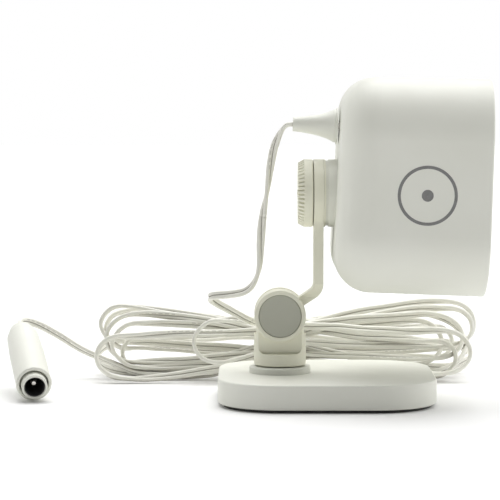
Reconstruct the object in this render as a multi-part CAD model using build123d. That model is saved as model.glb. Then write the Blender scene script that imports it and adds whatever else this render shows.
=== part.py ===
from build123d import *
import os
from math import atan, cos, degrees, pi, radians, sin, tan

os.makedirs("parts", exist_ok=True)

# A small fixed indoor camera on a desk stand, with its power lead.
# Millimetres, +Z up, +X the way the camera looks. The origin is on the surface that the
# stand rests on, on the axis of the stand's swivel.

# ---------------------------------------------------------------- driving dimensions
# stand base
BASE_SIDE = 64.6
BASE_CORNER = 18.5
BASE_CENTRE_X = 13.8
BASE_TOP = 8.2
BASE_TOP_EDGE = 0.6
BASE_WALL = 2.0
PAD_THICKNESS = 0.9
PAD_INSET = 1.7
PLATE_THICKNESS = 2.5
BASE_SCREW_REACH = 21.0

# swivel
COLLAR_RADIUS = 9.2
COLLAR_TOP = 10.2
SWIVEL_BORE = 4.0
SPIGOT_BOTTOM = 4.8
NECK_RADIUS = 6.2
SWIVEL_RUNNING_GAP = 0.05
THRUST_GAP = 0.1

# post and tilt hinge
POST_RADIUS = 7.8
POST_BOTTOM = 10.55
TILT_Z = 25.6
BARREL_RADIUS = 7.7
BARREL_HALF = 6.5
EAR_INNER = 3.2
FLAT_HALF = 4.4
FLAT_BOTTOM = 14.2
FLAT_REACH = 6.5
FLAT_CORNER = 2.0
KNUCKLE_RADIUS = 7.6
KNUCKLE_HALF = 2.8
KNUCKLE_GAP = 0.35
BOLT_RADIUS = 1.5
BOLT_POCKET_RADIUS = 2.9
CAP_RADIUS = 6.4
CAP_RECESS = 0.95

# arm, thumbwheel and clamp screw
ARM_MID_X = 11.45
ARM_THICKNESS = 2.9
ARM_ANGLE = 33.0
ARM_BEND = 3.6
SCREW_Z = 62.1
RING_RADIUS = 10.15
BOSS_RADIUS = 10.1
BOSS_STEP_RADIUS = 9.75
BOSS_BACK = 13.5
PAD_BACK = 12.98
INSERT_RADIUS = 4.75
SCREW_RADIUS = 3.175
WHEEL_BACK = 5.3
WHEEL_FRONT = 9.75
WHEEL_TEETH = 48
WHEEL_BEVEL_LENGTH = 1.8
WHEEL_BEVEL_DEPTH = 1.0

# camera head, drawn in its own frame: x forward from the middle of its back face, z up
HEAD_X = 16.8
HEAD_PITCH = 1.7
HEAD_LENGTH = 43.7
HEAD_SIDE = 63.1
HEAD_CORNER = 17.5
HEAD_DRAFT = 0.4
HEAD_LIFT = 3.3
HEAD_EDGE = 10.9
HEAD_WALL = 2.4
BACK_LEAN = 1.5
BACK_PIVOT_Z = 9.0
FACE_LEDGE = 39.6
FACE_THICKNESS = 2.2
RIM_WALL = 1.6
RIM_GAP = 0.12
BOARD_SCREW_REACH = 19.0
SPACER_REACH = 13.0
LAMP_COUNT = 6
LAMP_CIRCLE = 13.2
LAMP_RADIUS = 2.0

# power lead: a flat twin cable, drawn as a round tube as wide as the cable
CABLE_RADIUS = 1.3
BOOT_Z = 20.1
BOOT_TILT = 0.6
BOOT_GAP = 0.3
BOOT_LENGTH = 13.3
JACK_NOSE = Vector(-73.5, -6.0, 5.2)
JACK_REAR = Vector(-79.9, 27.0, 15.2)
JACK_RADIUS = 5.35
JACK_LENGTH = 43.0


def save(node, shape):
    """Writes one sub-part, as a solid or a group of separate solids."""
    shape.label = node
    export_step(shape, f"parts/{node}.step")


def disc(radius, low, high):
    """A cylinder on the Z axis between two heights."""
    return Pos(0, 0, low) * extrude(Circle(radius), amount=high - low)


def rod_x(radius, low, high, y=0.0, z=0.0):
    """A cylinder along X between two x places."""
    return Pos(low, y, z) * Rot(0, 90, 0) * extrude(Circle(radius), amount=high - low)


def rod_y(radius, low, high, x=0.0, z=0.0):
    """A cylinder along Y between two y places."""
    return Pos(x, low, z) * Rot(-90, 0, 0) * extrude(Circle(radius), amount=high - low)


def bore_y(radius, start, end):
    """A cylinder along the hinge's axis between two y places, in either order."""
    return rod_y(radius, min(start, end), max(start, end), z=TILT_Z)


def block(low, high):
    """A box between two opposite corners."""
    size = [high[i] - low[i] for i in range(3)]
    middle = [(high[i] + low[i]) / 2 for i in range(3)]
    return Pos(*middle) * Box(*size)


def squircle(side, corner, low, high):
    """A rounded square slab centred on the base."""
    outline = RectangleRounded(side, side, corner)
    return Pos(BASE_CENTRE_X, 0, low) * extrude(outline, amount=high - low)


def group(shapes):
    """Separate solids of one node."""
    return Compound(children=[s for shape in shapes for s in shape.solids()])


# ---------------------------------------------------------------- stand base
def base_screw_places():
    return [
        (BASE_CENTRE_X + sx * BASE_SCREW_REACH, sy * BASE_SCREW_REACH)
        for sx in (-1, 1)
        for sy in (-1, 1)
    ]


def base_cover():
    body = squircle(BASE_SIDE, BASE_CORNER, PAD_THICKNESS, BASE_TOP)
    body = fillet(body.edges().group_by(Axis.Z)[-1], BASE_TOP_EDGE)
    body = chamfer(body.edges().group_by(Axis.Z)[0], 0.4)
    roof = BASE_TOP - 1.9
    body -= squircle(BASE_SIDE - 2 * BASE_WALL, BASE_CORNER - BASE_WALL, PAD_THICKNESS - 1, roof)
    body += disc(7.0, 4.9, roof + 0.5)
    collar = disc(COLLAR_RADIUS, BASE_TOP - 0.5, COLLAR_TOP)
    body += chamfer(collar.edges().group_by(Axis.Z)[-1], 0.35)
    for x, y in base_screw_places():
        body += Pos(x, y, 0) * disc(2.6, PAD_THICKNESS + PLATE_THICKNESS, roof + 0.5)
    for x, y in base_screw_places():
        body -= Pos(x, y, 0) * disc(1.0, PAD_THICKNESS, roof)
    return body - disc(SWIVEL_BORE, 0, COLLAR_TOP + 1)


def base_plate():
    gap = 0.2
    low = PAD_THICKNESS
    high = low + PLATE_THICKNESS
    body = squircle(BASE_SIDE - 2 * (BASE_WALL + gap), BASE_CORNER - BASE_WALL - gap, low, high)
    body -= disc(8.0, 0, high + 1)
    for x, y in base_screw_places():
        body -= Pos(x, y, 0) * disc(1.1, 0, high + 1)
        body -= Pos(x, y, 0) * disc(2.1, 0, low + 1.25)
    return body


def base_screws():
    low = PAD_THICKNESS + 0.05
    screws = []
    for x, y in base_screw_places():
        screw = disc(1.9, low, low + 1.1) + disc(0.95, low + 1.1, 6.0)
        screw -= Pos(0, 0, low) * extrude(RegularPolygon(0.8, 6), amount=0.6)
        screws.append(Pos(x, y, 0) * screw)
    return group(screws)


def base_pad():
    return squircle(BASE_SIDE - 2 * PAD_INSET, BASE_CORNER - PAD_INSET, 0, PAD_THICKNESS)


# ---------------------------------------------------------------- post and tilt hinge
def swivel_post():
    column = disc(POST_RADIUS, POST_BOTTOM, TILT_Z)
    column = chamfer(column.edges().group_by(Axis.Z)[0], 0.3)
    # a flat on each side below the barrel, rounded at its lower corners
    flat = RectangleRounded(2 * FLAT_REACH, 2 * (TILT_Z - FLAT_BOTTOM), FLAT_CORNER)
    for side in (-1, 1):
        window = Pos(0, 0, TILT_Z) * extrude(Plane.XZ * flat, amount=-side * 10)
        column -= Pos(0, side * FLAT_HALF, 0) * window
    barrel = rod_y(BARREL_RADIUS, -BARREL_HALF, BARREL_HALF, z=TILT_Z)
    barrel = fillet(barrel.edges().filter_by(GeomType.CIRCLE), 0.35)
    post = column + barrel
    # slot for the arm's knuckle
    post -= rod_y(KNUCKLE_RADIUS + KNUCKLE_GAP, -EAR_INNER, EAR_INNER, z=TILT_Z)
    post -= block((-9, -EAR_INNER, TILT_Z - 5.6), (9, EAR_INNER, TILT_Z + 9))
    # recess for each cap, pocket for the bolt's head or nut, hole for the bolt
    for side in (-1, 1):
        post -= bore_y(CAP_RADIUS + 0.05, side * (BARREL_HALF - CAP_RECESS), side * BARREL_HALF)
        post -= bore_y(BOLT_POCKET_RADIUS, side * (BARREL_HALF - 2.3), side * BARREL_HALF)
    post -= rod_y(BOLT_RADIUS + 0.05, -BARREL_HALF, BARREL_HALF, z=TILT_Z)
    # neck and spigot that turn in the base's collar
    post += disc(NECK_RADIUS, COLLAR_TOP + THRUST_GAP, POST_BOTTOM + 0.5)
    post += disc(SWIVEL_BORE - SWIVEL_RUNNING_GAP, SPIGOT_BOTTOM, POST_BOTTOM + 0.5)
    return post - disc(1.3, 0, POST_BOTTOM + 1)


def swivel_washer():
    return disc(NECK_RADIUS, 3.9, 4.3) - disc(1.6, 3, 5)


def swivel_spring():
    """A conical spring washer that pulls the post down on the collar."""
    with BuildPart() as spring:
        with BuildSketch(Plane.XZ):
            with BuildLine():
                Polyline((2.0, 4.3), (5.6, 4.6), (5.6, 4.82), (2.0, 4.52), (2.0, 4.3))
            make_face()
        revolve(axis=Axis.Z)
    return spring.part


def swivel_screw():
    screw = disc(2.7, 2.0, 3.9) + disc(1.25, 3.9, 10.6)
    return screw - Pos(0, 0, 2.0) * extrude(RegularPolygon(1.2, 6), amount=1.0)


def hinge_bolt():
    head = rod_y(2.75, -BARREL_HALF + 1.05, -BARREL_HALF + 2.25, z=TILT_Z)
    shank = rod_y(BOLT_RADIUS, -BARREL_HALF + 2.2, BARREL_HALF - 1.1, z=TILT_Z)
    return head + shank


def hinge_nut():
    hexagon = Plane.XZ * RegularPolygon(2.75, 6)
    nut = Pos(0, BARREL_HALF - 1.05, TILT_Z) * extrude(hexagon, amount=1.2)
    return nut - rod_y(BOLT_RADIUS, 0, BARREL_HALF, z=TILT_Z)


def hinge_cap(side):
    cap = bore_y(CAP_RADIUS, side * (BARREL_HALF - CAP_RECESS), side * (BARREL_HALF - 0.3))
    rim = cap.edges().filter_by(GeomType.CIRCLE).sort_by(Axis.Y)
    return fillet(rim[-1] if side > 0 else rim[0], 0.25)


def hinge_washers():
    rings = []
    for side in (-1, 1):
        ring = bore_y(6.4, side * (KNUCKLE_HALF + 0.08), side * (EAR_INNER - 0.02))
        rings.append(ring - bore_y(BOLT_RADIUS + 0.05, 0, side * BARREL_HALF))
    return group(rings)


# ---------------------------------------------------------------- arm
def tilt_arm():
    """A bent flat arm: knuckle, short raked leg, upright strap and clamp ring."""
    rise = ARM_MID_X * tan(radians(ARM_ANGLE))
    foot = (0, TILT_Z)
    knee = (ARM_MID_X, TILT_Z + rise)
    top = (ARM_MID_X, SCREW_Z + RING_RADIUS)
    centre_line = FilletPolyline(foot, knee, top, radius=ARM_BEND)
    side_view = make_face(offset(centre_line, amount=ARM_THICKNESS / 2, side=Side.BOTH).edges())
    strip = extrude(Plane.XZ * side_view, amount=RING_RADIUS + 1, both=True)
    # front view, seen along X: narrow between the ears, wide at the ring
    with BuildSketch() as front:
        with BuildLine():
            Polyline(
                (-KNUCKLE_HALF, TILT_Z - 3),
                (KNUCKLE_HALF, TILT_Z - 3),
                (KNUCKLE_HALF, TILT_Z + 5.4),
                (5.2, TILT_Z + 9.5),
                (6.0, SCREW_Z - 6),
                (6.0, SCREW_Z),
                (-6.0, SCREW_Z),
                (-6.0, SCREW_Z - 6),
                (-5.2, TILT_Z + 9.5),
                (-KNUCKLE_HALF, TILT_Z + 5.4),
                (-KNUCKLE_HALF, TILT_Z - 3),
            )
        make_face()
        with Locations((0, SCREW_Z)):
            Circle(RING_RADIUS)
    outline = extrude(Plane.YZ * front.sketch, amount=20)
    outline += extrude(Plane.YZ * front.sketch, amount=-1)
    arm = strip & outline
    ring_corners = arm.edges().filter_by(Axis.X).filter_by_position(Axis.Z, SCREW_Z - 12, SCREW_Z - 6)
    arm = fillet(ring_corners, 3.0)
    arm += rod_y(KNUCKLE_RADIUS, -KNUCKLE_HALF, KNUCKLE_HALF, z=TILT_Z)
    arm -= rod_y(BOLT_RADIUS + 0.06, -KNUCKLE_HALF - 1, KNUCKLE_HALF + 1, z=TILT_Z)
    return arm - rod_x(SCREW_RADIUS + 0.15, 5, 20, z=SCREW_Z)


def thumbwheel():
    """A wheel with a bevel round its back, and teeth cut along the bevel."""
    back_radius = RING_RADIUS - WHEEL_BEVEL_DEPTH
    with BuildPart() as turned:
        with BuildSketch(Plane.XZ):
            with BuildLine():
                Polyline(
                    (WHEEL_BACK, 0),
                    (WHEEL_BACK, back_radius),
                    (WHEEL_BACK + WHEEL_BEVEL_LENGTH, RING_RADIUS),
                    (WHEEL_FRONT - 0.3, RING_RADIUS),
                    (WHEEL_FRONT, RING_RADIUS - 0.3),
                    (WHEEL_FRONT, 0),
                    (WHEEL_BACK, 0),
                )
            make_face()
        revolve(axis=Axis.X)
    wheel = Pos(0, 0, SCREW_Z) * turned.part
    slope = WHEEL_BEVEL_DEPTH / WHEEL_BEVEL_LENGTH
    lead_in = 0.3
    length = (WHEEL_BEVEL_LENGTH + lead_in) / cos(atan(slope))
    gap = Polygon((-0.5, 0.35), (0, -0.75), (0.5, 0.35), align=None)
    notch = Rot(0, -degrees(atan(slope)), 0) * extrude(Plane.YZ * gap, amount=length)
    notch = Pos(WHEEL_BACK - lead_in, 0, back_radius - lead_in * slope) * notch
    wheel -= [Pos(0, 0, SCREW_Z) * Rot(360 / WHEEL_TEETH * i, 0, 0) * notch for i in range(WHEEL_TEETH)]
    # coin slot in the back, seat of the screw's head
    wheel -= block((WHEEL_BACK - 1, -6.5, SCREW_Z - 0.8), (WHEEL_BACK + 0.9, 6.5, SCREW_Z + 0.8))
    wheel -= rod_x(4.6, WHEEL_BACK + 1.5, WHEEL_BACK + 3.5, z=SCREW_Z)
    return wheel - rod_x(SCREW_RADIUS, WHEEL_BACK + 2, WHEEL_FRONT + 1, z=SCREW_Z)


def tripod_screw():
    head = rod_x(4.6, WHEEL_BACK + 1.5, WHEEL_BACK + 3.5, z=SCREW_Z)
    shank = rod_x(SCREW_RADIUS, WHEEL_BACK + 3.4, 24.5, z=SCREW_Z)
    return head + chamfer(shank.edges().group_by(Axis.X)[-1], 0.6)


# ---------------------------------------------------------------- camera head
def in_head(shape):
    """Puts a shape that is drawn in the head's frame where the head is."""
    return Pos(HEAD_X, 0, SCREW_Z) * Rot(0, HEAD_PITCH, 0) * shape


def back_x(z):
    """Where the middle of the back face is at that height: it leans more than the front."""
    return (z - BACK_PIVOT_Z) * tan(radians(BACK_LEAN))


def head_form(inset, low, high):
    """The head's rounded square section, inset from its outside, between two x places."""
    side = HEAD_SIDE - 2 * inset + 2 * low * tan(radians(HEAD_DRAFT))
    outline = RectangleRounded(side, side, HEAD_CORNER - inset)
    form = extrude(Plane.YZ.offset(low) * outline, amount=high - low, taper=-HEAD_DRAFT)
    return Pos(0, 0, HEAD_LIFT) * form


def head_shell(inset, high):
    """The head's form with its leaning back, rounded where the back meets the sides."""
    form = head_form(inset, inset - 2, high)
    back = Pos(inset, 0, BACK_PIVOT_Z) * Rot(0, BACK_LEAN, 0) * block((-8, -50, -60), (0, 50, 60))
    form -= back
    return fillet(form.faces().sort_by(Axis.X)[0].edges(), HEAD_EDGE - inset)


def board_screw_places():
    return [(sy * BOARD_SCREW_REACH, HEAD_LIFT + sz * BOARD_SCREW_REACH) for sy in (-1, 1) for sz in (-1, 1)]


def spacer_places():
    return [(sy * SPACER_REACH, HEAD_LIFT + sz * SPACER_REACH) for sy in (-1, 1) for sz in (-1, 1)]


BUTTON_Y, BUTTON_Z = 16.0, -8.0
BOARD_BACK, BOARD_FRONT = 9.5, 11.1
SENSOR_BACK, SENSOR_FRONT = 27.0, 28.2
HOLDER_FRONT = 36.3
IR_FRONT = 37.3
FACE_BACK = FACE_LEDGE + 0.5
FACE_FRONT = FACE_BACK + FACE_THICKNESS
LIGHT_Z = HEAD_LIFT - 17.5
STATUS_Z = HEAD_LIFT + 18.5


def rear_housing():
    shell = head_shell(0, HEAD_LENGTH)
    shell = fillet(shell.edges().group_by(Axis.X)[-1], 0.5)
    shell -= head_shell(HEAD_WALL, FACE_LEDGE)
    shell -= head_form(RIM_WALL, FACE_LEDGE, HEAD_LENGTH + 1)
    for y, z in board_screw_places():
        shell += rod_x(2.6, back_x(z) + HEAD_WALL - 0.5, BOARD_BACK, y, z)
        shell -= rod_x(0.95, 4.0, BOARD_BACK + 1, y, z)
    # opening for the plug, hole and finger dish for the button
    shell -= block((-2, -3.9, BOOT_Z - 1.4), (HEAD_WALL + 2, 3.9, BOOT_Z + 1.4))
    shell -= rod_x(2.4, -3, HEAD_WALL + 2, BUTTON_Y, BUTTON_Z)
    shell -= Pos(back_x(BUTTON_Z), BUTTON_Y, BUTTON_Z) * Rot(0, 90, 0) * Cone(3.8, 2.2, 1.6)
    shell = in_head(shell)
    # stepped boss for the clamp, square to the screw, with the insert's seat inside
    shell += rod_x(BOSS_STEP_RADIUS, BOSS_BACK, BOSS_BACK + 0.8, z=SCREW_Z)
    shell += rod_x(BOSS_RADIUS, BOSS_BACK + 0.8, 17.6, z=SCREW_Z)
    shell += rod_x(INSERT_RADIUS + 1.85, 17.5, 27.8, z=SCREW_Z)
    shell -= rod_x(INSERT_RADIUS, 17.9, 26.2, z=SCREW_Z)
    return shell - rod_x(SCREW_RADIUS + 0.25, 12, 18.5, z=SCREW_Z)


def friction_pad():
    pad = rod_x(BOSS_RADIUS, PAD_BACK, BOSS_BACK, z=SCREW_Z)
    return pad - rod_x(SCREW_RADIUS + 0.25, 12, 14, z=SCREW_Z)


def threaded_insert():
    insert = rod_x(INSERT_RADIUS, 17.9, 26.2, z=SCREW_Z)
    return insert - rod_x(SCREW_RADIUS + 0.05, 17, 25.4, z=SCREW_Z)


def ir_led_places():
    turns = [radians(360 / LAMP_COUNT * i) for i in range(LAMP_COUNT)]
    return [(LAMP_CIRCLE * sin(turn), HEAD_LIFT + LAMP_CIRCLE * cos(turn)) for turn in turns]


def face_plate():
    plate = head_form(RIM_WALL + RIM_GAP, FACE_BACK, FACE_FRONT)
    plate = fillet(plate.edges().group_by(Axis.X)[-1], 0.4)
    plate -= rod_x(8.6, FACE_BACK - 1, FACE_FRONT + 1, z=HEAD_LIFT)
    for y, z in ir_led_places():
        plate -= rod_x(LAMP_RADIUS + 0.1, FACE_BACK - 1, FACE_FRONT + 1, y, z)
    plate -= rod_x(1.6, FACE_BACK - 1, FACE_FRONT + 1, 0, LIGHT_Z - 1.5)
    plate -= rod_x(1.15, FACE_BACK - 1, FACE_FRONT + 1, 0, STATUS_Z)
    plate -= rod_x(0.6, FACE_BACK - 1, FACE_FRONT + 1, 9.0, LIGHT_Z - 1.5)
    return in_head(plate)


def face_seal():
    ring = head_form(RIM_WALL + RIM_GAP, FACE_LEDGE, FACE_BACK)
    return in_head(ring - head_form(HEAD_WALL + 1.0, FACE_LEDGE - 1, FACE_BACK + 1))


def lens_ring():
    ring = rod_x(8.5, FACE_BACK - 0.4, FACE_FRONT + 0.7, z=HEAD_LIFT)
    ring = chamfer(ring.edges().group_by(Axis.X)[-1], 0.4)
    ring -= rod_x(6.0, FACE_BACK - 2, FACE_FRONT + 2, z=HEAD_LIFT)
    flare = Cone(6.0, 7.4, 1.2, align=(Align.CENTER, Align.CENTER, Align.MIN))
    return in_head(ring - Pos(FACE_FRONT - 0.3, 0, HEAD_LIFT) * Rot(0, 90, 0) * flare)


def lens_glass():
    glass = rod_x(5.95, FACE_BACK + 0.2, FACE_FRONT - 0.4, z=HEAD_LIFT)
    return in_head(fillet(glass.edges().group_by(Axis.X)[-1], 1.2))


def lens_barrel():
    front = FACE_BACK - 1.2
    barrel = rod_x(5.95, 31.0, front, z=HEAD_LIFT) + rod_x(7.0, HOLDER_FRONT + 0.6, front, z=HEAD_LIFT)
    return in_head(barrel - rod_x(4.4, 38.0, FACE_BACK, z=HEAD_LIFT))


def lens_holder():
    body = block((SENSOR_FRONT, -8, HEAD_LIFT - 8), (HOLDER_FRONT, 8, HEAD_LIFT + 8))
    body = fillet(body.edges().filter_by(Axis.X), 1.5)
    body -= rod_x(6.0, SENSOR_FRONT + 2, HOLDER_FRONT + 1, z=HEAD_LIFT)
    body -= block((SENSOR_FRONT - 1, -5, HEAD_LIFT - 5), (SENSOR_FRONT + 2.2, 5, HEAD_LIFT + 5))
    return in_head(body)


def image_sensor():
    return in_head(block((SENSOR_FRONT, -3.6, HEAD_LIFT - 3.6), (SENSOR_FRONT + 1.0, 3.6, HEAD_LIFT + 3.6)))


def sensor_board():
    return in_head(block((SENSOR_BACK, -16.5, HEAD_LIFT - 16.5), (SENSOR_FRONT, 16.5, HEAD_LIFT + 16.5)))


def board_spacers():
    return group([in_head(rod_x(2.1, BOARD_FRONT, SENSOR_BACK, y, z)) for y, z in spacer_places()])


def main_board():
    board = block((BOARD_BACK, -23.5, HEAD_LIFT - 23.5), (BOARD_FRONT, 23.5, HEAD_LIFT + 23.5))
    board = fillet(board.edges().filter_by(Axis.X), 6.0)
    for y, z in board_screw_places():
        board -= rod_x(1.1, BOARD_BACK - 1, BOARD_FRONT + 1, y, z)
    return in_head(board - rod_x(7.4, BOARD_BACK - 1, BOARD_FRONT + 1))


def board_screws():
    screws = []
    for y, z in board_screw_places():
        screw = rod_x(1.8, BOARD_FRONT, BOARD_FRONT + 1.3, y, z) + rod_x(0.9, 4.5, BOARD_FRONT + 0.1, y, z)
        screws.append(in_head(screw))
    return group(screws)


def processor():
    return in_head(block((BOARD_FRONT, 9.5, HEAD_LIFT - 6), (BOARD_FRONT + 1.4, 21.5, HEAD_LIFT + 6)))


def wifi_module():
    can = block((BOARD_FRONT, -22.0, HEAD_LIFT - 6.5), (BOARD_FRONT + 2.4, -9.5, HEAD_LIFT + 6.5))
    return in_head(fillet(can.edges().filter_by(Axis.X), 0.8))


def ir_board():
    ring = rod_x(17.0, HOLDER_FRONT, IR_FRONT, z=HEAD_LIFT)
    ring -= rod_x(8.2, HOLDER_FRONT - 1, IR_FRONT + 1, z=HEAD_LIFT)
    tab = block((HOLDER_FRONT, -4.0, STATUS_Z - 4), (IR_FRONT, 4.0, STATUS_Z + 2.5))
    lower = block((HOLDER_FRONT, -4.0, LIGHT_Z - 4.5), (IR_FRONT, 11.5, LIGHT_Z + 3))
    return in_head(ring + tab + lower)


def ir_leds():
    lamps = []
    for y, z in ir_led_places():
        lamp = rod_x(LAMP_RADIUS, IR_FRONT, FACE_FRONT - 0.5, y, z)
        lamps.append(in_head(fillet(lamp.edges().group_by(Axis.X)[-1], 1.6)))
    return group(lamps)


def light_sensor():
    eye = rod_x(1.5, IR_FRONT, FACE_FRONT - 0.4, 0, LIGHT_Z - 1.5)
    return in_head(fillet(eye.edges().group_by(Axis.X)[-1], 1.0))


def light_pipe():
    return in_head(rod_x(1.05, IR_FRONT, FACE_FRONT - 0.1, 0, STATUS_Z))


def microphone():
    return in_head(rod_x(2.0, IR_FRONT, FACE_BACK - 0.1, 9.0, LIGHT_Z - 1.5))


def power_socket():
    shell = block((4.2, -4.1, BOOT_Z - 1.8), (BOARD_BACK, 4.1, BOOT_Z + 1.8))
    return in_head(shell - block((3, -3.6, BOOT_Z - 1.1), (8.7, 3.6, BOOT_Z + 1.1)))


def plug_shell():
    return block((-2.5, -3.45, BOOT_Z - 0.95), (8.2, 3.45, BOOT_Z + 0.95))


def cable_boot():
    """A flared strain relief, tilted a little on its plug."""
    with BuildPart() as boot:
        with BuildSketch(Plane.XZ):
            with BuildLine():
                Polyline((0, 0), (0, 5.45), (-0.45, 5.45), (-0.5, 4.95), (-1.1, 4.9))
                Spline((-1.1, 4.9), (-6.9, 2.95), (-BOOT_LENGTH, 2.15), tangents=[(-1, -0.58), (-1, -0.06)])
                Polyline((-BOOT_LENGTH, 2.15), (-BOOT_LENGTH, 0), (0, 0))
            make_face()
        revolve(axis=Axis.X)
    shape = Pos(-BOOT_GAP, 0, BOOT_Z) * Rot(0, BOOT_TILT, 0) * boot.part
    return in_head(shape - plug_shell())


def setup_switch():
    return in_head(block((6.2, BUTTON_Y - 3, BUTTON_Z - 3), (BOARD_BACK, BUTTON_Y + 3, BUTTON_Z + 3)))


def setup_button():
    inside = back_x(BUTTON_Z) + HEAD_WALL
    flange = rod_x(3.3, inside + 0.2, inside + 1.0, BUTTON_Y, BUTTON_Z)
    stem = rod_x(1.2, inside + 0.5, 5.4, BUTTON_Y, BUTTON_Z)
    cap = rod_x(2.3, back_x(BUTTON_Z) + 0.5, inside + 0.5, BUTTON_Y, BUTTON_Z)
    return in_head(fillet(cap.edges().group_by(Axis.X)[0], 0.3) + flange + stem)


# ---------------------------------------------------------------- power lead
def cord(name, points):
    """A round tube along straight runs joined by tangent arcs; prints its radii."""
    runs = [b - a for a, b in zip(points, points[1:])]
    radii = []
    for before, after in zip(runs, runs[1:]):
        half_turn = radians(before.get_angle(after)) / 2
        radii.append(0.45 * min(before.length, after.length) / tan(half_turn))
    path = FilletPolyline(*points, radius=radii)
    section = Plane(origin=points[0], z_dir=runs[0]) * Circle(CABLE_RADIUS)
    tube = sweep(section, path=path)
    area = pi * CABLE_RADIUS**2
    ratio = tube.volume / (area * path.length)
    print(name, "length", round(path.length, 1), "volume ratio", round(ratio, 3))
    print(name, "radii", [round(r, 1) for r in radii])
    return tube


# From the boot's tail down behind the thumbwheel. It rides on the arm, and stops short of
# the fold where the lead goes round to the back, which no rigid body can carry.
UPPER_ROUTE = [
    Vector(3.2, 0.0, 82.75),
    Vector(1.2, 0.0, 82.3),
    Vector(-1.6, 0.4, 76.9),
    Vector(-2.9, 1.0, 70.5),
    Vector(-3.8, 1.3, 62.5),
    Vector(-5.3, 0.8, 55.0),
    Vector(-5.9, 0.2, 46.5),
    Vector(-6.1, 0.0, 38.2),
    Vector(-9.2, 0.4, 32.6),
    Vector(-15.0, 1.0, 31.5),
]

# From behind the post down to the hank.
LOWER_ROUTE = [
    Vector(-8.6, 11.0, 22.2),
    Vector(-5.2, 18.0, 20.6),
    Vector(-1.0, 25.5, 18.0),
    Vector(3.4, 33.0, 14.6),
    Vector(6.6, 40.5, 11.4),
    Vector(8.4, 46.5, 9.6),
]

# From the jack's tail back to the hank's left end.
JACK_AXIS = (JACK_REAR - JACK_NOSE).normalized()
TAIL_ROUTE = [
    JACK_NOSE + JACK_AXIS * (JACK_LENGTH - 1.0),
    JACK_NOSE + JACK_AXIS * (JACK_LENGTH + 4.0),
    Vector(-81.4, 43.6, 19.4),
    Vector(-77.0, 48.4, 17.7),
    Vector(-70.0, 50.0, 13.6),
    Vector(-63.8, 50.4, 9.4),
    Vector(-57.0, 50.8, 6.4),
]

TIE_HALF = 2.5
TIE_LOW, TIE_HIGH = 5.0, 20.6
TIE_NEAR, TIE_FAR = 41.0, 55.6
TIE_WALL = 1.0
WAIST_X = 2.0
WAIST_BOTTOM, WAIST_TOP = 6.5, 18.5
SADDLE_RADIUS = 80.0
ARCH_RADIUS = 160.0


def tie_prism(inset, half):
    width = TIE_FAR - TIE_NEAR - 2 * inset
    height = TIE_HIGH - TIE_LOW - 2 * inset
    outline = RectangleRounded(width, height, 4.5 - inset)
    middle = ((TIE_NEAR + TIE_FAR) / 2, (TIE_LOW + TIE_HIGH) / 2)
    return Pos(WAIST_X, *middle) * extrude(Plane.YZ * outline, amount=half, both=True)


def cable_tie():
    return tie_prism(0, TIE_HALF) - tie_prism(TIE_WALL, TIE_HALF + 1)


def cable_hank():
    """The outer shape of the loose hank: a bow tie, pinched and lifted where it is tied."""
    near, far = 35.0, 88.0
    left, right = -62.0, 68.0
    corners = [
        (WAIST_X, TIE_NEAR + 1), (-30, near), (left, near), (left, far), (-30, far),
        (WAIST_X, TIE_FAR - 1), (34, far), (right, far), (right, near), (34, near),
    ]
    outline = make_face(Polyline(*corners, close=True).edges())
    ends = [v for v in outline.vertices() if abs(v.X - left) < 1 or abs(v.X - right) < 1]
    outline = fillet(ends, 18.0)
    shoulders = [v for v in outline.vertices() if v.Y > far - 1 and abs(v.X) < 35]
    outline = fillet(shoulders, 14.0)
    body = Pos(0, 0, 0.05) * extrude(outline, amount=23.5)
    body -= rod_y(SADDLE_RADIUS, 0, 120, x=WAIST_X, z=WAIST_TOP + SADDLE_RADIUS)
    body -= rod_y(ARCH_RADIUS, 0, 120, x=WAIST_X, z=WAIST_BOTTOM - ARCH_RADIUS)
    slab = block((WAIST_X - TIE_HALF - 0.1, 0, -1), (WAIST_X + TIE_HALF + 0.1, 120, 30))
    return body - (slab - tie_prism(TIE_WALL, TIE_HALF + 3))


JACK_PLANE = Plane(origin=JACK_NOSE, z_dir=JACK_AXIS)


def jack_turned(profile):
    """A turned piece of the jack, from its half section: distance from the nose, radius."""
    points = [(radius, along) for along, radius in profile]
    face = make_face(Polyline(*points, close=True).edges())
    return JACK_PLANE * revolve(Plane.XZ * face, axis=Axis.Z)


def jack_body():
    end = JACK_LENGTH
    return jack_turned(
        [
            (0.4, 4.3), (0.0, 4.55), (0.0, 5.0), (0.35, JACK_RADIUS), (22.0, JACK_RADIUS),
            (end - 8.0, 4.95), (end - 3.2, 3.9), (end - 2.0, 2.5), (end, 2.1),
            (end, CABLE_RADIUS + 0.02), (end - 4.0, CABLE_RADIUS + 0.02), (end - 4.0, 0.5),
            (12.0, 0.5), (12.0, 4.3),
        ]
    )


def jack_bush():
    """The pale sleeve of the socket, standing a little proud of the body's front."""
    return jack_turned(
        [
            (-2.1, 3.15), (-2.3, 3.3), (-2.3, 3.65), (-2.1, 3.85),
            (3.5, 3.85), (3.5, 4.25), (11.9, 4.25), (11.9, 3.15),
        ]
    )


def jack_sleeve():
    return jack_turned([(-1.9, 2.9), (-1.9, 3.1), (11.9, 3.1), (11.9, 2.9)])


def jack_insulator():
    return jack_turned([(9.0, 1.1), (9.0, 2.85), (11.9, 2.85), (11.9, 1.1)])


def jack_pin():
    return jack_turned([(0.7, 0.0), (0.75, 0.6), (1.1, 1.0), (11.9, 1.05), (11.9, 0.0)])


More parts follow.
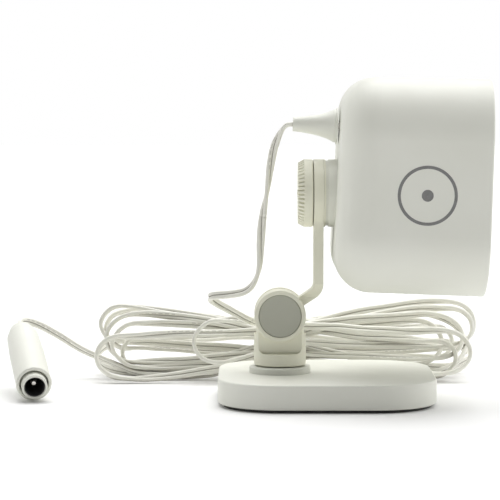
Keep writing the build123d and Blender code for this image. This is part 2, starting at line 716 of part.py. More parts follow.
# ---------------------------------------------------------------- write every sub-part
nodes = {
    "base_cover": base_cover(),
    "base_plate": base_plate(),
    "base_screws": base_screws(),
    "base_pad": base_pad(),
    "swivel_post": swivel_post(),
    "swivel_washer": swivel_washer(),
    "swivel_spring": swivel_spring(),
    "swivel_screw": swivel_screw(),
    "hinge_bolt": hinge_bolt(),
    "hinge_nut": hinge_nut(),
    "hinge_cap_near": hinge_cap(-1),
    "hinge_cap_far": hinge_cap(1),
    "hinge_washers": hinge_washers(),
    "tilt_arm": tilt_arm(),
    "thumbwheel": thumbwheel(),
    "tripod_screw": tripod_screw(),
    "rear_housing": rear_housing(),
    "friction_pad": friction_pad(),
    "threaded_insert": threaded_insert(),
    "face_plate": face_plate(),
    "face_seal": face_seal(),
    "lens_ring": lens_ring(),
    "lens_glass": lens_glass(),
    "lens_barrel": lens_barrel(),
    "lens_holder": lens_holder(),
    "image_sensor": image_sensor(),
    "sensor_board": sensor_board(),
    "board_spacers": board_spacers(),
    "main_board": main_board(),
    "board_screws": board_screws(),
    "processor": processor(),
    "wifi_module": wifi_module(),
    "ir_board": ir_board(),
    "ir_leds": ir_leds(),
    "light_sensor": light_sensor(),
    "light_pipe": light_pipe(),
    "microphone": microphone(),
    "power_socket": power_socket(),
    "plug_shell": in_head(plug_shell()),
    "cable_boot": cable_boot(),
    "setup_switch": setup_switch(),
    "setup_button": setup_button(),
    "cable_upper": cord("cable_upper", UPPER_ROUTE),
    "cable_lower": cord("cable_lower", LOWER_ROUTE),
    "cable_tail": cord("cable_tail", TAIL_ROUTE),
    "cable_hank": cable_hank(),
    "cable_tie": cable_tie(),
    "jack_body": jack_body(),
    "jack_bush": jack_bush(),
    "jack_sleeve": jack_sleeve(),
    "jack_insulator": jack_insulator(),
    "jack_pin": jack_pin(),
}
for name, shape in nodes.items():
    save(name, shape)
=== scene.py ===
import math
import random

import bpy
import numpy as np
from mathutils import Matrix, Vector
from mathutils.kdtree import KDTree


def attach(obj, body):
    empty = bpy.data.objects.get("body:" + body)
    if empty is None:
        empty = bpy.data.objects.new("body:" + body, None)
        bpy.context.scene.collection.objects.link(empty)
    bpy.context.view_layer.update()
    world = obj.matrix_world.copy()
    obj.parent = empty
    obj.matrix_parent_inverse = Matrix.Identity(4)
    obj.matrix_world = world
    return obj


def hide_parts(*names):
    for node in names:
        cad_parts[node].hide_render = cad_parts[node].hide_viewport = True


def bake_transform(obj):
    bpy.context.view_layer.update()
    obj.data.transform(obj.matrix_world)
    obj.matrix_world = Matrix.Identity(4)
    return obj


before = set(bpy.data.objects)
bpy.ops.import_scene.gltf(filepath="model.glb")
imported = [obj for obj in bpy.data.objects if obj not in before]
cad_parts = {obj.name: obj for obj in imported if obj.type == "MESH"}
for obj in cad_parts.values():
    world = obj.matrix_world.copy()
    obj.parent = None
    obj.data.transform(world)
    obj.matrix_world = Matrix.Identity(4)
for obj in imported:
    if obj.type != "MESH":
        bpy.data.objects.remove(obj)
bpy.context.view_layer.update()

MM = 0.001

# ---------------------------------------------------------------- camera
CAMERA_PLACE = Vector((-9.0, -700.0, 94.0)) * MM
CAMERA_TARGET = Vector((-9.0, 0.0, 45.0)) * MM
camera_data = bpy.data.cameras.new("camera")
camera_data.lens = 168.4
camera_data.sensor_width = 36.0
camera_data.clip_start = 0.05
camera_data.clip_end = 50.0
camera = bpy.data.objects.new("camera", camera_data)
bpy.context.scene.collection.objects.link(camera)
camera.location = CAMERA_PLACE
camera.rotation_euler = (CAMERA_TARGET - CAMERA_PLACE).to_track_quat("-Z", "Y").to_euler()
bpy.context.scene.camera = camera


# ---------------------------------------------------------------- meshes from code
def new_object(name, vertices, faces, smooth=True):
    """A mesh object in the scene, from its vertices and faces."""
    mesh = bpy.data.meshes.new(name)
    mesh.from_pydata([tuple(v) for v in vertices], [], faces)
    mesh.validate()
    mesh.update()
    for polygon in mesh.polygons:
        polygon.use_smooth = smooth
    obj = bpy.data.objects.new(name, mesh)
    bpy.context.scene.collection.objects.link(obj)
    return obj


def nurbs_line(points, steps):
    """Points along the NURBS spline that has these control points."""
    data = bpy.data.curves.new("route", "CURVE")
    data.dimensions = "3D"
    data.resolution_u = steps
    spline = data.splines.new("NURBS")
    spline.points.add(len(points) - 1)
    for target, source in zip(spline.points, points):
        target.co = (*source, 1.0)
    spline.order_u = 3
    spline.use_endpoint_u = True
    holder = bpy.data.objects.new("route", data)
    mesh = bpy.data.meshes.new_from_object(holder)
    line = np.array([v.co for v in mesh.vertices], float)
    bpy.data.objects.remove(holder)
    bpy.data.curves.remove(data)
    bpy.data.meshes.remove(mesh)
    return line


# ---------------------------------------------------------------- power lead, its route
LEAD_WIDTH = 2.6
LEAD_THICKNESS = 1.3


def across(angle, run=(0, 0, 1)):
    """Where the flat lead's width points, on a run along that direction: 0 is edge-on to the camera."""
    a = math.radians(angle)
    side = Vector((0, 1, 0)).cross(Vector(run)).normalized()
    return Vector((0, math.cos(a), 0)) + side * math.sin(a)


DOWN = (0, 0, -1)
OUT = (0.6, 0.0, 0.8)
# Each route point is a place in millimetres and the direction of the lead's width there.
BOOT_PLACE = (Vector((5.6, 0.0, 82.55)), across(0, OUT))
UPPER_ROUTE = [
    (Vector((3.2, 0.0, 82.75)), across(0, OUT)),
    (Vector((1.2, 0.0, 82.3)), across(8, OUT)),
    (Vector((-1.6, 0.4, 76.9)), across(60, DOWN)),
    (Vector((-2.9, 1.0, 70.5)), across(115, DOWN)),
    (Vector((-3.8, 1.3, 62.5)), across(170, DOWN)),
    (Vector((-5.3, 0.8, 55.0)), across(235, DOWN)),
    (Vector((-5.9, 0.2, 46.5)), across(300, DOWN)),
    (Vector((-6.1, 0.0, 38.2)), across(350, DOWN)),
    (Vector((-9.2, 0.4, 32.6)), across(400, (-0.7, 0, -0.7))),
    (Vector((-15.0, 1.0, 31.5)), across(425, (-1, 0, -0.2))),
]
FOLD_ROUTE = [
    (Vector((-21.3, 1.9, 31.1)), across(430, (-1, 0, -0.2))),
    (Vector((-20.9, 7.0, 29.3)), Vector((0.35, 0.1, 1))),
    (Vector((-14.2, 10.2, 25.4)), across(250, (0.8, 0, -0.4))),
]
LOWER_ROUTE = [
    (Vector((-8.6, 11.0, 22.2)), across(245, (0.8, 0, -0.4))),
    (Vector((-5.2, 18.0, 20.6)), Vector((-0.8, 0.3, 0.5))),
    (Vector((-1.0, 25.5, 18.0)), Vector((-0.8, 0.3, 0.5))),
    (Vector((3.4, 33.0, 14.6)), Vector((-0.8, 0.3, 0.5))),
    (Vector((6.6, 40.5, 11.4)), Vector((-0.6, 0.6, 0.5))),
    (Vector((8.4, 46.5, 9.6)), Vector((-0.2, 0.8, 0.3))),
]
JACK_NOSE = Vector((-73.5, -6.0, 5.2))
JACK_REAR = Vector((-79.9, 27.0, 15.2))
JACK_AXIS = (JACK_REAR - JACK_NOSE).normalized()
JACK_LENGTH = 43.0
TAIL_ROUTE = [
    (JACK_NOSE + JACK_AXIS * (JACK_LENGTH - 1.0), Vector((0.3, 0.1, -0.9))),
    (JACK_NOSE + JACK_AXIS * (JACK_LENGTH + 4.0), Vector((0.3, 0.1, -0.9))),
    (Vector((-81.4, 43.6, 19.4)), Vector((0.2, 0.2, -0.9))),
    (Vector((-77.0, 48.4, 17.7)), Vector((0.0, 0.3, -0.9))),
    (Vector((-70.0, 50.0, 13.6)), Vector((-0.1, 0.4, -0.9))),
    (Vector((-63.8, 50.4, 9.4)), Vector((-0.1, 0.5, -0.8))),
    (Vector((-57.0, 50.8, 6.4)), Vector((0.0, 0.7, -0.7))),
]
# Along the desk from the tie to the tail.
HANK_END = [
    (-6, 48.5, 9.5), (-12, 45.6, 5.4), (-19, 45.0, 2.0), (-28, 45.0, 1.4),
    (-37, 45.2, 1.4), (-45, 46.4, 2.0), (-51.5, 48.8, 4.4),
]

# The hank: the turns meet in the tied waist behind the stand and fan out to both sides.
# Each loop is its reach, then depth and height of its upper strand, then of its lower strand.
WAIST_X = 2.0
RIGHT_LOOPS = [
    (61.0, (44, 16.0), (39, 3.0)),
    (59.0, (50, 20.6), (45, 7.0)),
    (62.5, (55, 22.4), (50, 10.5)),
    (56.5, (47, 13.0), (43, 1.5)),
    (64.0, (63, 24.0), (58, 8.0)),
    (53.0, (58, 18.0), (52, 4.2)),
    (60.5, (70, 19.6), (50, 1.8)),
    (57.5, (68, 15.0), (66, 5.0)),
    (63.0, (78, 9.0), (62, 2.4)),
]
LEFT_LOOPS = [
    (57.6, (43, 14.6), (37.5, 1.4)),
    (55.0, (51, 20.4), (48, 5.2)),
    (26.5, (38, 20.2), (36.8, 6.4)),
    (53.0, (49, 18.2), (46, 4.4)),
    (57.5, (62, 22.0), (58, 11.2)),
    (50.0, (54, 13.4), (50, 2.6)),
    (56.0, (66, 20.6), (60, 8.6)),
    (58.5, (72, 10.5), (52, 1.4)),
]

# In the tie the strands lie in columns of six, three upper ones over three lower ones.
COLUMN_Y = 44.0
COLUMN_STEP = 3.6
TOP_ROW_Z = 18.0
BOTTOM_ROW_Z = 7.6
ROW_STEP = 2.1
ROWS = 3

LOWEST = 1.32  # the height of the lead's middle where it lies on the desk
CLEARANCE = 1.9  # the least distance between the middles of two strands
SLACK = 0.35  # how far a strand strays from its even run
ROLL_RANGE = (62, 104)  # degrees the flat lead rolls over along a loop's side
LEAST_TIP = 5.0
TIP_SHARE = 1.25  # a loop's rounded tip, as a share of half its opening
TIP_SPREAD = 1.06  # the spline runs inside its points, so those of the tip lie a little outside it
SIDE_SHARES = (0.08, 0.2, 0.34, 0.49, 0.65, 0.82, 0.95)
TIP_ANGLES = (68, 40, 13, -13, -40, -68)


def upper_slot(k):
    """Where a turn's upper strand passes through the tie."""
    return Vector((WAIST_X, COLUMN_Y + COLUMN_STEP * (k // ROWS), TOP_ROW_Z - ROW_STEP * (k % ROWS)))


def lower_slot(k):
    """Where a turn's lower strand passes through the tie."""
    return Vector((WAIST_X, COLUMN_Y + COLUMN_STEP * (k // ROWS), BOTTOM_ROW_Z + ROW_STEP * (k % ROWS)))


def spread(share):
    """How far a strand has fanned out of the tie, at this share of its run."""
    return 1 - (1 - min(1, share * 1.05)) ** 1.4


def rolled(share):
    """How far the flat lead has rolled over, from 0 at the tie to 1 half way and back."""
    return math.sin(math.pi * share) ** 0.6


def excursion(side, loop, first_slot, second_slot, rng):
    """From the tie round one end of the hank and back to the tie, as route points."""
    reach, upper, lower = loop
    first, second = (upper, lower) if side > 0 else (lower, upper)
    first = Vector((0, *first))
    second = Vector((0, *second))
    middle = (first + second) / 2
    half = (first - second) / 2
    tip = max(LEAST_TIP, half.length * TIP_SHARE)
    run = reach - tip - side * WAIST_X
    plane = half.cross(Vector((1, 0, 0))).normalized()
    if plane.y < 0:
        plane = -plane
    radial = plane.cross(Vector((1, 0, 0))).normalized()
    roll = math.radians(rng.choice((-1, 1)) * rng.uniform(*ROLL_RANGE))
    points = []

    def add(x, place, turn):
        slack = SLACK * min(1.0, abs(x) / 20)
        y = place.y + rng.uniform(-slack, slack)
        z = max(LOWEST, place.z + rng.uniform(-slack, slack))
        width = plane * math.cos(turn) + radial * math.sin(turn)
        points.append((Vector((WAIST_X + side * x, y, z)), width))

    for share in SIDE_SHARES:
        add(run * share, first_slot.lerp(first, spread(share)), roll * rolled(share))
    for angle in TIP_ANGLES:
        a = math.radians(angle)
        x = run + tip * TIP_SPREAD * math.cos(a)
        add(x, middle + half * TIP_SPREAD * math.sin(a), 0.0)
    for share in reversed(SIDE_SHARES):
        add(run * share, second_slot.lerp(second, spread(share)), -roll * rolled(share))
    return points


def hank_route():
    """All the turns of the hank in order, and the run along the desk that leaves it."""
    rng = random.Random(7)
    route = []
    flat = Vector((0, 1, 0))
    for k in range(len(RIGHT_LOOPS)):
        route += excursion(1, RIGHT_LOOPS[k], upper_slot(k), lower_slot(k), rng)
        route.append((lower_slot(k), flat))
        if k < len(LEFT_LOOPS):
            route += excursion(-1, LEFT_LOOPS[k], lower_slot(k), upper_slot(k + 1), rng)
            route.append((upper_slot(k + 1), flat))
    for place in HANK_END:
        route.append((Vector(place), Vector((0, 0.75, -0.65))))
    return route


def settle(points, held, rounds=60):
    """Pushes strands that lie in each other apart, and keeps the run of each one smooth."""
    points = np.array(points, float)
    rest = points.copy()
    free = np.ones(len(points), bool)
    free[held] = False
    shares = (0.0, 0.25, 0.5, 0.75)
    for _ in range(rounds):
        samples = np.concatenate([points[:-1] * (1 - t) + points[1:] * t for t in shares])
        owner = np.concatenate([np.arange(len(points) - 1)] * len(shares))
        weight = np.repeat(shares, len(points) - 1)
        tree = KDTree(len(samples))
        for i, p in enumerate(samples):
            tree.insert(p, i)
        tree.balance()
        push = np.zeros_like(points)
        for i, p in enumerate(samples):
            for q, j, distance in tree.find_range(p, CLEARANCE):
                if abs(owner[i] - owner[j]) < 4 or distance < 1e-6:
                    continue
                away = (p - np.array(q)) / distance * (CLEARANCE - distance) * 0.5
                push[owner[i]] += away * (1 - weight[i])
                push[owner[i] + 1] += away * weight[i]
        smooth = np.zeros_like(points)
        smooth[1:-1] = (points[:-2] + points[2:]) / 2 - points[1:-1]
        smooth[1:-1] -= (rest[:-2] + rest[2:]) / 2 - rest[1:-1]
        length = np.linalg.norm(push, axis=1)[:, None]
        push *= np.minimum(1, 0.5 / np.maximum(length, 1e-9))
        points[free] += (push + 0.25 * smooth)[free]
        points[:, 2] = np.maximum(points[:, 2], LOWEST)
    return points


# ---------------------------------------------------------------- power lead, its mesh
CORE_ARC = 296  # degrees of each core's outline that show beside the other core
CORE_STEPS = 10
LINE_STEPS = 8  # points along the line for each route point
ARM_TAKES_OVER = 5  # the point of the upper route from which the lead goes with the arm


def lead_section():
    """The outline of the twin lead's section: two round cores side by side."""
    radius = LEAD_THICKNESS / 2
    centre = LEAD_WIDTH / 2 - radius
    outline = []
    for side in (1, -1):
        for step in range(CORE_STEPS + 1):
            a = math.radians(CORE_ARC * (step / CORE_STEPS - 0.5)) + (0 if side > 0 else math.pi)
            outline.append((side * centre + radius * math.cos(a), radius * math.sin(a)))
    return np.array(outline) * MM


def swept_lead(name, line, widths, start_at):
    """A closed tube with the lead's section along a line, which knows how far along it is."""
    section = lead_section()
    tangents = np.gradient(line, axis=0)
    tangents /= np.linalg.norm(tangents, axis=1)[:, None]
    wide = widths - (widths * tangents).sum(1)[:, None] * tangents
    wide /= np.linalg.norm(wide, axis=1)[:, None]
    normal = np.cross(tangents, wide)
    rings = line[:, None] + section[None, :, :1] * wide[:, None]
    rings = rings + section[None, :, 1:] * normal[:, None]
    count = len(section)
    faces = []
    for i in range(len(line) - 1):
        for j in range(count):
            a, b = i * count + j, i * count + (j + 1) % count
            faces.append((a, b, b + count, a + count))
    faces.append(tuple(range(count))[::-1])
    last = (len(line) - 1) * count
    faces.append(tuple(range(last, last + count)))
    obj = new_object(name, rings.reshape(-1, 3), faces)
    run = start_at + np.concatenate([[0], np.cumsum(np.linalg.norm(np.diff(line, axis=0), axis=1))])
    along = np.repeat(run, count)
    around = np.tile(section[:, 0], len(line))
    for attribute, values in (("along", along), ("around", around)):
        data = obj.data.attributes.new(attribute, "FLOAT", "POINT")
        data.data.foreach_set("value", values.astype(np.float32))
    return obj


def line_length(line):
    """The length along a line of points."""
    return float(np.linalg.norm(np.diff(line, axis=0), axis=1).sum())


def nearest(line, place):
    """The index of the line's point nearest to a place in millimetres."""
    return int(np.linalg.norm(line - np.array(place * MM), axis=1).argmin())


def build_lead():
    """The whole lead as four lengths, cut where it passes from one moving body to the next."""
    before = [BOOT_PLACE] + UPPER_ROUTE + FOLD_ROUTE + LOWER_ROUTE
    route = before + hank_route() + TAIL_ROUTE[::-1]
    held = list(range(len(before))) + list(range(len(route) - len(TAIL_ROUTE), len(route)))
    places = settle([p for p, w in route], held)
    widths = [w.normalized() for p, w in route]
    for i in range(1, len(widths)):
        if widths[i].dot(widths[i - 1]) < 0:
            widths[i] = -widths[i]
    line = nurbs_line([Vector(p) * MM for p in places], LINE_STEPS)
    wide = nurbs_line(widths, LINE_STEPS)
    cuts = [
        0,
        nearest(line, UPPER_ROUTE[ARM_TAKES_OVER][0]),
        nearest(line, LOWER_ROUTE[0][0]),
        nearest(line, LOWER_ROUTE[-1][0]),
        len(line) - 1,
    ]
    names = ("lead_from_head", "lead_fold", "lead_behind_post", "lead_hank")
    lengths = []
    start_at = 0.0
    for name, low, high in zip(names, cuts[:-1], cuts[1:]):
        part = line[low:high + 1]
        obj = swept_lead(name, part, wide[low:high + 1], start_at)
        lengths.append((obj, part))
        start_at += line_length(part)
    print("lead:", [(o.name, round(line_length(p), 4)) for o, p in lengths], "in all", round(start_at, 3))
    return lengths


# ---------------------------------------------------------------- materials
class Nodes:
    """Short names for building a node material."""

    def __init__(self, name):
        self.material = bpy.data.materials.new(name)
        self.material.use_nodes = True
        self.tree = self.material.node_tree
        self.shader = self.tree.nodes["Principled BSDF"]
        coordinates = self.tree.nodes.new("ShaderNodeTexCoord")
        self.place = coordinates.outputs["Object"]

    def node(self, kind, **settings):
        made = self.tree.nodes.new(kind)
        for key, value in settings.items():
            if key in made.inputs:
                made.inputs[key].default_value = value
            else:
                setattr(made, key, value)
        return made

    def link(self, source, target):
        self.tree.links.new(source, target)

    def noise(self, scale, detail=2.0, roughness=0.5):
        made = self.node("ShaderNodeTexNoise", Scale=scale, Detail=detail, Roughness=roughness)
        self.link(self.place, made.inputs["Vector"])
        return made.outputs["Fac"]

    def mapped(self, value, low, high, from_low=0.3, from_high=0.7):
        made = self.node("ShaderNodeMapRange")
        made.inputs["From Min"].default_value = from_low
        made.inputs["From Max"].default_value = from_high
        made.inputs["To Min"].default_value = low
        made.inputs["To Max"].default_value = high
        self.link(value, made.inputs["Value"])
        return made.outputs["Result"]

    def mix(self, share, first, second):
        made = self.tree.nodes.new("ShaderNodeMix")
        made.data_type = "RGBA"
        for socket, colour in ((made.inputs[6], first), (made.inputs[7], second)):
            if isinstance(colour, tuple):
                socket.default_value = (*colour, 1.0)
            else:
                self.link(colour, socket)
        if isinstance(share, (int, float)):
            made.inputs[0].default_value = share
        else:
            self.link(share, made.inputs[0])
        return made.outputs[2]

    def math(self, operation, first, second=0.0):
        made = self.node("ShaderNodeMath", operation=operation)
        for socket, value in ((made.inputs[0], first), (made.inputs[1], second)):
            if isinstance(value, (int, float)):
                socket.default_value = value
            else:
                self.link(value, socket)
        return made.outputs[0]

    def mottled(self, scale, detail, first, second):
        """A colour that wanders between these two."""
        return self.mix(self.mapped(self.noise(scale, detail), 0.0, 1.0), first, second)

    def bump(self, height, strength, distance):
        made = self.node("ShaderNodeBump", Strength=strength, Distance=distance)
        self.link(height, made.inputs["Height"])
        self.link(made.outputs["Normal"], self.shader.inputs["Normal"])

    def set(self, **sockets):
        for key, value in sockets.items():
            socket = self.shader.inputs[key.replace("_", " ")]
            if hasattr(value, "links") or hasattr(value, "is_output"):
                self.link(value, socket)
            else:
                socket.default_value = (*value, 1.0) if isinstance(value, tuple) else value


def moulded(name, colour, shade, rough, grain=2600.0, grain_strength=0.12):
    """Moulded plastic: a fine spark-eroded grain, faint flow mottling and uneven gloss."""
    n = Nodes(name)
    n.set(Base_Color=n.mottled(38.0, 4.0, colour, shade))
    n.set(Roughness=n.mapped(n.noise(150.0, 3.0), rough - 0.05, rough + 0.06))
    n.bump(n.noise(grain, 3.0, 0.6), grain_strength, 0.00006)
    n.set(IOR=1.47)
    return n.material


# The lead's jacket, in metres and shares: the painted shade along the groove between the cores, the
# dashes printed along one core in groups, and how near another strand must come for painted shade to
# darken the crease between them.
GROOVE_SHADE_REACH = 0.00016
DASH_REACH = 0.00016
DASH_PLACE = 0.00062
DASH_PITCH = 0.0021
DASH_SHARE = 0.62
GROUP_PITCH = 0.115
GROUP_SHARE = 0.16
CREASE_REACH = 0.0025


def lead_vinyl():
    """Soft white vinyl on the twin lead, with the faint dashes that are printed along one core, painted
    shade along the groove between the cores and painted shade in the creases between strands.
    """
    n = Nodes("lead_vinyl")
    along = n.node("ShaderNodeAttribute", attribute_name="along").outputs["Fac"]
    around = n.node("ShaderNodeAttribute", attribute_name="around").outputs["Fac"]
    jacket = n.mottled(90.0, 3.0, (0.87, 0.865, 0.79), (0.83, 0.82, 0.74))
    # painted shade: the groove between the two cores is darkened in the jacket's colour
    painted_groove_shade = n.math("LESS_THAN", n.math("ABSOLUTE", around), GROOVE_SHADE_REACH)
    jacket = n.mix(n.math("MULTIPLY", painted_groove_shade, 0.75), jacket, (0.22, 0.20, 0.16))
    group = n.math("LESS_THAN", n.math("FRACT", n.math("DIVIDE", along, GROUP_PITCH)), GROUP_SHARE)
    dash = n.math("LESS_THAN", n.math("FRACT", n.math("DIVIDE", along, DASH_PITCH)), DASH_SHARE)
    core = n.math("LESS_THAN", n.math("ABSOLUTE", n.math("SUBTRACT", around, DASH_PLACE)), DASH_REACH)
    ink = n.math("MULTIPLY", n.math("MULTIPLY", group, dash), n.math("MULTIPLY", core, 0.32))
    inked = n.mix(ink, jacket, (0.16, 0.14, 0.12))
    # painted shade: the jacket is darkened towards brown wherever another strand lies close, standing in
    # for the shade in the creases between strands
    close = n.node("ShaderNodeAmbientOcclusion", Distance=CREASE_REACH).outputs["AO"]
    painted_crease_shade = n.mapped(close, 0.9, 0.0, 0.2, 0.8)
    n.set(Base_Color=n.mix(painted_crease_shade, inked, (0.27, 0.24, 0.19)))
    n.set(Roughness=n.mapped(n.noise(240.0, 3.0), 0.38, 0.5))
    n.bump(n.noise(900.0, 3.0), 0.15, 0.0001)
    n.set(IOR=1.5)
    return n.material


def black_gloss():
    """Polished black plastic with the faint haze of handling."""
    n = Nodes("black_gloss")
    n.set(Base_Color=n.mottled(60.0, 4.0, (0.010, 0.010, 0.012), (0.016, 0.016, 0.018)))
    n.set(Roughness=n.mapped(n.noise(45.0, 5.0), 0.06, 0.16))
    n.bump(n.noise(70.0, 2.0), 0.04, 0.0002)
    n.set(IOR=1.5)
    return n.material


def dark_matt():
    """Dark plastic with a fine matt grain."""
    n = Nodes("dark_matt")
    n.set(Base_Color=n.mottled(120.0, 4.0, (0.035, 0.035, 0.036), (0.052, 0.052, 0.053)))
    n.set(Roughness=n.mapped(n.noise(300.0, 3.0), 0.5, 0.65))
    n.bump(n.noise(3000.0, 2.0), 0.2, 0.00005)
    return n.material


def rubber():
    """Matt black rubber with a coarse grain."""
    n = Nodes("pad_rubber")
    n.set(Base_Color=n.mottled(200.0, 4.0, (0.045, 0.044, 0.042), (0.075, 0.073, 0.070)))
    n.set(Roughness=n.mapped(n.noise(400.0, 3.0), 0.7, 0.9))
    n.bump(n.noise(1600.0, 4.0), 0.5, 0.0001)
    return n.material


def metal(name, colour, rough, turned=(1.0, 1.0, 14.0)):
    """Bare or plated metal with fine tool marks along one direction."""
    n = Nodes(name)
    stretch = n.node("ShaderNodeMapping")
    stretch.inputs["Scale"].default_value = turned
    n.link(n.place, stretch.inputs["Vector"])
    n.place = stretch.outputs["Vector"]
    marks = n.noise(500.0, 4.0)
    dull = tuple(c * 0.82 for c in colour)
    n.set(Base_Color=n.mix(n.mapped(marks, 0.0, 1.0), colour, dull))
    n.set(Metallic=1.0)
    n.set(Roughness=n.mapped(marks, rough - 0.05, rough + 0.08))
    n.bump(marks, 0.08, 0.00005)
    return n.material


def coated_glass():
    """Lens glass: dark through it, with the violet-green bloom of its coating."""
    n = Nodes("lens_glass")
    facing = n.node("ShaderNodeLayerWeight", Blend=0.35).outputs["Facing"]
    bloom = n.mix(facing, (0.10, 0.06, 0.20), (0.06, 0.22, 0.20))
    n.set(Base_Color=bloom)
    n.set(Roughness=n.mapped(n.noise(240.0, 3.0), 0.02, 0.06))
    n.set(IOR=1.6)
    n.set(Alpha=0.35)
    n.set(Coat_Weight=1.0)
    return n.material


def clear_plastic():
    """Clear moulded plastic, faintly blue."""
    n = Nodes("clear_plastic")
    n.set(Base_Color=n.mottled(160.0, 3.0, (0.80, 0.84, 0.86), (0.70, 0.75, 0.78)))
    n.set(Roughness=n.mapped(n.noise(300.0, 3.0), 0.08, 0.2))
    n.set(Alpha=0.45)
    n.set(IOR=1.49)
    return n.material


def solder_mask():
    """Circuit board: green mask over faint copper traces."""
    n = Nodes("circuit_board")
    trace = n.node("ShaderNodeTexBrick", Scale=420.0)
    n.link(n.place, trace.inputs["Vector"])
    n.set(Base_Color=n.mix(trace.outputs["Fac"], (0.012, 0.10, 0.045), (0.03, 0.19, 0.09)))
    n.set(Roughness=n.mapped(n.noise(500.0, 3.0), 0.3, 0.42))
    n.bump(trace.outputs["Fac"], 0.25, 0.00004)
    return n.material


def paint():
    """Gives every piece of the frame the finish of its material slot."""
    finishes = {
        "white_plastic": moulded("white_plastic", (0.80, 0.805, 0.735), (0.775, 0.78, 0.705), 0.46),
        "warm_plastic": moulded("warm_plastic", (0.83, 0.825, 0.69), (0.805, 0.795, 0.66), 0.44),
        "grey_plastic": moulded("grey_plastic", (0.48, 0.485, 0.41), (0.45, 0.455, 0.38), 0.42),
        "black_gloss": black_gloss(),
        "dark_plastic": dark_matt(),
        "lens_glass": coated_glass(),
        "clear_plastic": clear_plastic(),
        "circuit_board": solder_mask(),
        "steel": metal("steel", (0.56, 0.55, 0.53), 0.32),
        "nickel": metal("nickel", (0.72, 0.70, 0.66), 0.2, (1.0, 8.0, 1.0)),
        "brass": metal("brass", (0.72, 0.50, 0.20), 0.28),
        "pad_rubber": rubber(),
        "cable_jacket": lead_vinyl(),
    }
    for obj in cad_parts.values():
        for slot in obj.material_slots:
            slot.material = finishes[slot.material.name.split(".")[0]]
    return finishes


finishes = paint()

# ---------------------------------------------------------------- the lead in place
lengths = build_lead()
from_head, fold, behind_post, hank = [obj for obj, line in lengths]
for obj, line in lengths:
    obj.data.materials.append(finishes["cable_jacket"])
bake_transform(from_head)
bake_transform(fold)
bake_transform(behind_post)
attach(hank, "root")
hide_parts("cable_upper")
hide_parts("cable_lower")
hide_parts("cable_hank", "cable_tail")


# ---------------------------------------------------------------- plain mark on the head's side
# The head's sizes in millimetres and degrees, and the mark's place on its side from the head's axis.
HEAD_X = 16.8
SCREW_Z = 62.1
HEAD_PITCH = 1.7
HEAD_DRAFT = 0.4
HEAD_SIDE = 63.1
MARK_FILM = 0.03
MARK_CENTRE = (25.0, 1.4)


def flank_place(x, z):
    """A place on the head's near side, from the head's own x and z, in metres."""
    y = -(HEAD_SIDE / 2 + x * math.tan(math.radians(HEAD_DRAFT))) - MARK_FILM
    pitch = math.radians(HEAD_PITCH)
    world_x = HEAD_X + x * math.cos(pitch) + z * math.sin(pitch)
    world_z = SCREW_Z - x * math.sin(pitch) + z * math.cos(pitch)
    return Vector((world_x, y, world_z)) * MM


def ring_mesh(name, centre, outer, inner, count=96):
    """A thin printed ring on the head's side; a tiny inner radius makes it a dot."""
    places = []
    for radius in (outer, inner):
        for i in range(count):
            a = 2 * math.pi * i / count
            x = centre[0] + radius * math.cos(a)
            z = centre[1] + radius * math.sin(a)
            places.append(flank_place(x, z))
    faces = []
    for i in range(count):
        j = (i + 1) % count
        faces.append((i, j, count + j, count + i))
    return new_object(name, places, faces, False)


def mark_ink():
    """Grey printing ink."""
    n = Nodes("mark_ink")
    n.set(Base_Color=n.mottled(900.0, 3.0, (0.19, 0.19, 0.185), (0.23, 0.23, 0.225)))
    n.set(Roughness=n.mapped(n.noise(400.0, 3.0), 0.45, 0.55))
    return n.material


ink = mark_ink()
for name, outer, inner in (("mark_ring", 8.6, 7.7), ("mark_dot", 1.7, 0.01)):
    piece = ring_mesh(name, MARK_CENTRE, outer, inner)
    piece.data.materials.append(ink)
    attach(piece, "head")


# ---------------------------------------------------------------- studio
FLOOR_REACH = 3.0
FLOOR_DROP = 0.00002
# Each sun's energy and its tilt in degrees.
SUNS = {
    "overhead": (2.5, (-20, 4, 0)),
    "side": (0.74, (-6, 64, 0)),
}
SUN_WIDTH = 60
# How bright the room is from its front, the camera's side, to its back.
ROOM_FRONT = 0.12
ROOM_BACK = 0.65
ROOM_LEVELS = ((0.34, 0.25), (0.43, 0.50), (0.5, 0.88))


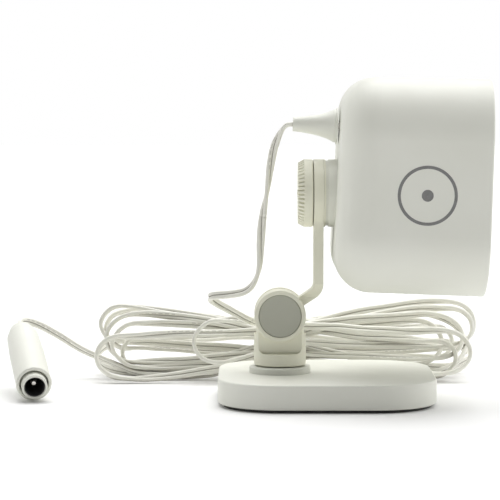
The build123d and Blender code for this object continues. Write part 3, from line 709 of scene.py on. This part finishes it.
def studio():
    """A pale floor, two soft suns and a room that is brightest behind and beside the object."""
    corners = [(x * FLOOR_REACH, y * FLOOR_REACH, 0) for x, y in ((-1, -1), (1, -1), (1, 1), (-1, 1))]
    floor = new_object("floor", corners, [(0, 1, 2, 3)], False)
    n = Nodes("floor")
    n.set(Base_Color=n.mottled(6.0, 2.0, (0.90, 0.90, 0.895), (0.885, 0.885, 0.88)))
    n.set(Roughness=0.7)
    n.shader.inputs["Specular IOR Level"].default_value = 0.2
    floor.data.materials.append(n.material)
    floor.location.z = -FLOOR_DROP

    for name, (energy, tilt) in SUNS.items():
        sun_data = bpy.data.lights.new(name, "SUN")
        sun_data.energy = energy
        sun_data.angle = math.radians(SUN_WIDTH)
        sun = bpy.data.objects.new(name, sun_data)
        bpy.context.scene.collection.objects.link(sun)
        sun.rotation_euler = [math.radians(angle) for angle in tilt]

    world = bpy.data.worlds.new("studio")
    bpy.context.scene.world = world
    world.use_nodes = True
    tree = world.node_tree
    light = tree.nodes["Background"]
    around = tree.nodes.new("ShaderNodeTexCoord")
    parts = tree.nodes.new("ShaderNodeSeparateXYZ")
    tree.links.new(around.outputs["Generated"], parts.inputs[0])
    share = tree.nodes.new("ShaderNodeMapRange")
    share.inputs["From Min"].default_value = -1.0
    tree.links.new(parts.outputs["Y"], share.inputs["Value"])
    ramp = tree.nodes.new("ShaderNodeValToRGB")
    ramp.color_ramp.elements[0].color = (ROOM_FRONT, ROOM_FRONT, ROOM_FRONT, 1.0)
    ramp.color_ramp.elements[1].color = (ROOM_BACK, ROOM_BACK, ROOM_BACK, 1.0)
    for position, level in ROOM_LEVELS:
        ramp.color_ramp.elements.new(position).color = (level, level, level, 1.0)
    tree.links.new(share.outputs["Result"], ramp.inputs[0])
    tree.links.new(ramp.outputs[0], light.inputs["Color"])
    light.inputs["Strength"].default_value = 1.0
    shown = tree.nodes.new("ShaderNodeBackground")
    shown.inputs["Strength"].default_value = 1.0
    shown.inputs["Color"].default_value = (1.0, 1.0, 1.0, 1.0)
    rays = tree.nodes.new("ShaderNodeLightPath")
    mixed = tree.nodes.new("ShaderNodeMixShader")
    tree.links.new(rays.outputs["Is Camera Ray"], mixed.inputs[0])
    tree.links.new(light.outputs[0], mixed.inputs[1])
    tree.links.new(shown.outputs[0], mixed.inputs[2])
    tree.links.new(mixed.outputs[0], tree.nodes["World Output"].inputs["Surface"])
    bpy.context.scene.view_settings.view_transform = "Standard"


studio()
